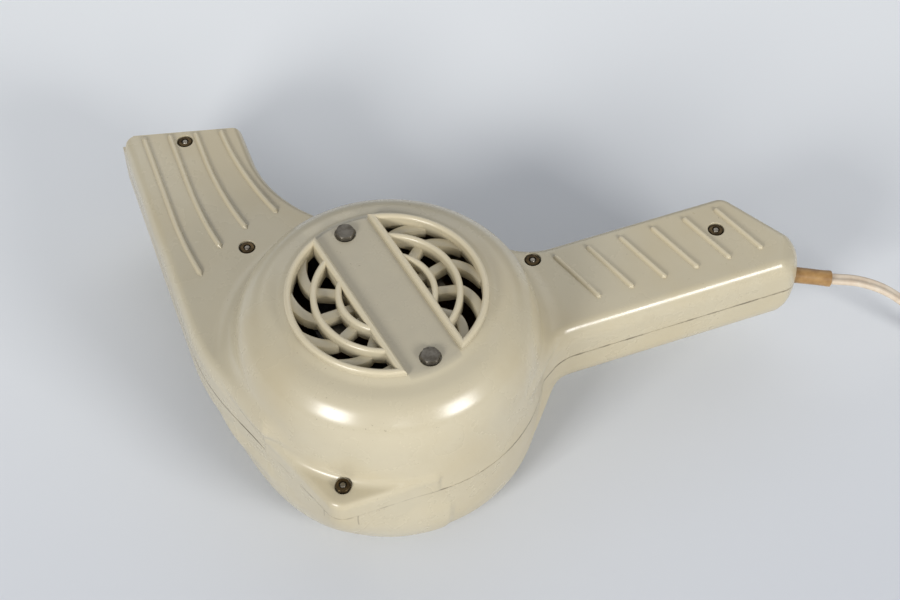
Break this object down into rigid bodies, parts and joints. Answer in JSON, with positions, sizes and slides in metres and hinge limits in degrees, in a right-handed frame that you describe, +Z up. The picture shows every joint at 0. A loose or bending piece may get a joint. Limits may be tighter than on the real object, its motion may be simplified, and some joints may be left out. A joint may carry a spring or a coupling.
{
  "type": "hair dryer",
  "caption": "Hand-held mains hair dryer with a round motor drum, a side nozzle, a ribbed handle and a swirled intake grille, moulded as two shells.",
  "frame": {"origin": "centre of the flat resting face on the rear shell's drum, on the motor's axis", "axes": "+Z up along the motor and fan axis, out of the intake grille; +X along the handle towards the cord; +Y along the nozzle towards its mouth"},
  "size_m": [0.44, 0.2506, 0.093],
  "materials": {
    "shell": "moulded ivory thermoset, glossy",
    "steel": "plain steel, dulled",
    "brass": "aged brass",
    "bronze": "oiled sintered bronze",
    "iron": "stacked sheet steel",
    "copper": "enamelled copper wire and copper bars",
    "carbon": "moulded carbon",
    "phenolic": "brown phenolic",
    "fan": "black moulded fan",
    "mica": "mica board",
    "nichrome": "oxidised resistance wire",
    "lead": "insulated lead",
    "sleeve": "tan flexible sleeve",
    "cord": "pinkish cream flat twin cord",
    "dark_plastic": "dark moulded plastic"
  },
  "bodies": {
    "housing": {"bearing_front": "bronze", "bearing_rear": "bronze", "bracket_front": "steel", "bracket_rear": "steel", "brush_a": "carbon", "brush_b": "carbon", "brush_holder_a": "phenolic", "brush_holder_b": "phenolic", "brush_spring_a": "steel", "brush_spring_b": "steel", "clamp_screw_a": "steel", "clamp_screw_b": "steel", "cord_clamp": "steel", "cord_coil": "cord", "cord_run": "cord", "cord_tail": "cord", "fan_inlet_ring": "phenolic", "field_coil_a": "copper", "field_coil_b": "copper", "front_shell": "shell", "heater_board": "mica", "heater_coil": "nichrome", "heater_liner": "mica", "lead_live": "lead", "lead_neutral": "lead", "lead_switch": "lead", "motor_bolt_a": "steel", "motor_bolt_b": "steel", "nut_handle_end": "brass", "nut_handle_root": "brass", "nut_lug": "brass", "nut_nozzle_root": "brass", "nut_nozzle_tip": "brass", "outlet_guard": "steel", "plug_body": "dark_plastic", "plug_pin_a": "brass", "plug_pin_b": "brass", "rear_shell": "shell", "screw_handle_end": "steel", "screw_handle_root": "steel", "screw_lug": "steel", "screw_nozzle_root": "steel", "screw_nozzle_tip": "steel", "stator_core": "iron", "strain_relief": "sleeve", "switch_body": "phenolic", "terminal_block": "phenolic", "terminal_screw_a": "brass", "terminal_screw_b": "brass"},
    "rotor": {"motor_shaft": "steel", "armature_core": "iron", "winding_front": "copper", "winding_rear": "copper", "commutator": "copper", "fan_impeller": "fan", "fan_nut": "steel"},
    "switch": {"switch_slider": "dark_plastic"}
  },
  "joints": [
    {"name": "rotor_spin", "type": "hinge", "parent": "housing", "child": "rotor", "pos_m": [0, 0, 0.045], "axis": [0, 0, 1], "continuous": true},
    {"name": "switch_slide", "type": "slide", "parent": "housing", "child": "switch", "axis": [1, 0, 0], "range_m": [0, 0.008]}
  ]
}
